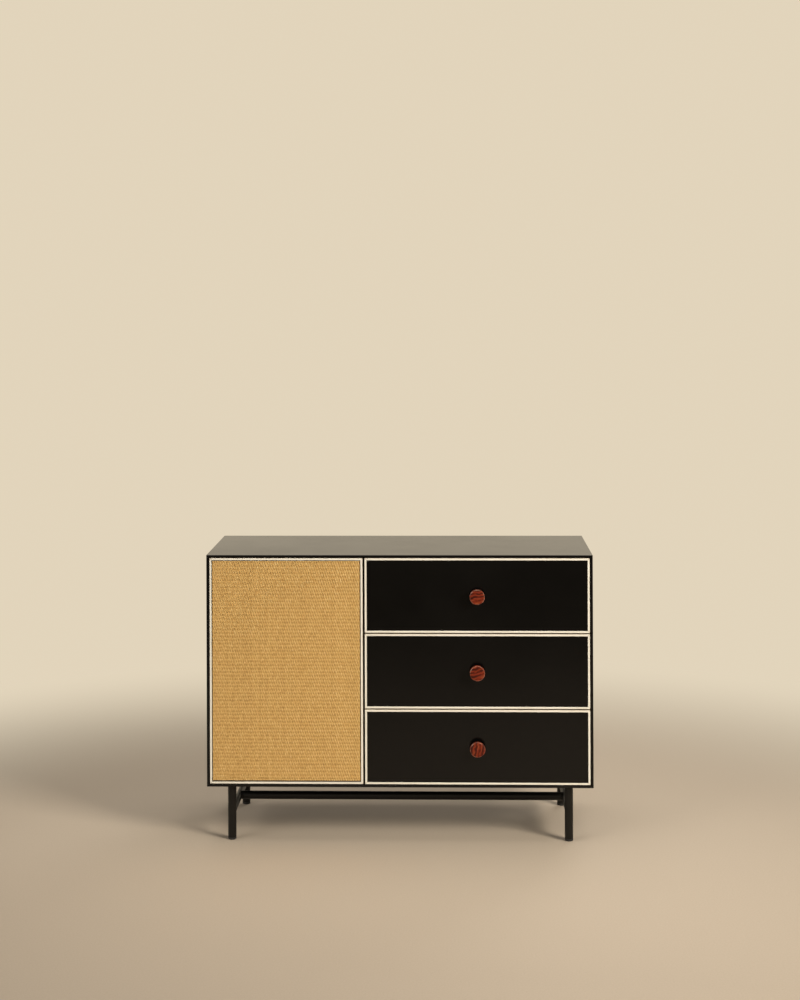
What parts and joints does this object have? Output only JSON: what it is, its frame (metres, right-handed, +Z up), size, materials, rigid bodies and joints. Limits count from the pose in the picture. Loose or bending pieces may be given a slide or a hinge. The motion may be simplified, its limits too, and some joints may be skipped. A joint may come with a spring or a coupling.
{
  "type": "chest of drawers",
  "caption": "Low black commode with cream-edged fronts: a woven straw door that swings on pivots beside a stack of sliding drawers with turned wooden knobs, on a tubular base.",
  "frame": {"origin": "on the floor, under the centre of the outer box with the knobs included", "axes": "+X to the right seen from the front, +Y from the fronts to the back, +Z up"},
  "size_m": [1.1, 0.43, 0.817],
  "materials": {
    "black_lacquer": "satin black lacquer on board",
    "cream_lacquer": "satin cream lacquer on a solid edging",
    "woven_straw": "plain-woven straw, matt",
    "striped_wood": "oiled reddish hardwood with dark stripes",
    "pale_wood": "matt clear lacquer on pale hardwood",
    "black_steel": "satin black powder coat",
    "black_nylon": "moulded black nylon",
    "grey_nylon": "moulded grey nylon",
    "steel": "bright zinc-plated steel",
    "brass": "turned brass"
  },
  "bodies": {
    "carcass": {"top_panel": "black_lacquer", "bottom_panel": "black_lacquer", "left_side_panel": "black_lacquer", "right_side_panel": "black_lacquer", "back_panel": "black_lacquer", "divider": "black_lacquer", "shelf": "black_lacquer", "shelf_pin_front_left": "steel", "shelf_pin_front_right": "steel", "shelf_pin_rear_left": "steel", "shelf_pin_rear_right": "steel", "drawer_1_runner_left": "pale_wood", "drawer_1_runner_right": "pale_wood", "drawer_2_runner_left": "pale_wood", "drawer_2_runner_right": "pale_wood", "drawer_3_runner_left": "pale_wood", "drawer_3_runner_right": "pale_wood", "leg_front_left": "black_steel", "leg_front_right": "black_steel", "leg_rear_left": "black_steel", "leg_rear_right": "black_steel", "glide_front_left": "black_nylon", "glide_front_right": "black_nylon", "glide_rear_left": "black_nylon", "glide_rear_right": "black_nylon", "side_rail_left": "black_steel", "side_rail_right": "black_steel", "stretcher": "black_steel", "pivot_bush_lower": "brass", "pivot_bush_upper": "brass", "latch_housing": "grey_nylon"},
    "door": {"door_edging": "cream_lacquer", "door_board": "black_lacquer", "woven_panel": "woven_straw", "pivot_pin_lower": "steel", "pivot_pin_upper": "steel", "strike_plate": "steel"},
    "plunger": {"latch_plunger": "grey_nylon"},
    "drawer_1": {"drawer_1_front": "black_lacquer", "drawer_1_edging": "cream_lacquer", "drawer_1_knob": "striped_wood", "drawer_1_side_left": "pale_wood", "drawer_1_side_right": "pale_wood", "drawer_1_back": "pale_wood", "drawer_1_bottom": "pale_wood"},
    "drawer_2": {"drawer_2_front": "black_lacquer", "drawer_2_edging": "cream_lacquer", "drawer_2_knob": "striped_wood", "drawer_2_side_left": "pale_wood", "drawer_2_side_right": "pale_wood", "drawer_2_back": "pale_wood", "drawer_2_bottom": "pale_wood"},
    "drawer_3": {"drawer_3_front": "black_lacquer", "drawer_3_edging": "cream_lacquer", "drawer_3_knob": "striped_wood", "drawer_3_side_left": "pale_wood", "drawer_3_side_right": "pale_wood", "drawer_3_back": "pale_wood", "drawer_3_bottom": "pale_wood"}
  },
  "joints": [
    {"name": "door_hinge", "type": "hinge", "parent": "carcass", "child": "door", "pos_m": [-0.531, -0.17893, 0.487], "axis": [0, 0, -1], "range_deg": [0, 105]},
    {"name": "drawer_1_slide", "type": "slide", "parent": "carcass", "child": "drawer_1", "axis": [0, -1, 0], "range_m": [0, 0.27]},
    {"name": "drawer_2_slide", "type": "slide", "parent": "carcass", "child": "drawer_2", "axis": [0, -1, 0], "range_m": [0, 0.27]},
    {"name": "drawer_3_slide", "type": "slide", "parent": "carcass", "child": "drawer_3", "axis": [0, -1, 0], "range_m": [0, 0.27]},
    {"name": "latch_plunger_slide", "type": "slide", "parent": "carcass", "child": "plunger", "axis": [0, 1, 0], "range_m": [0, 0.003], "stiffness_N_per_m": 400}
  ]
}
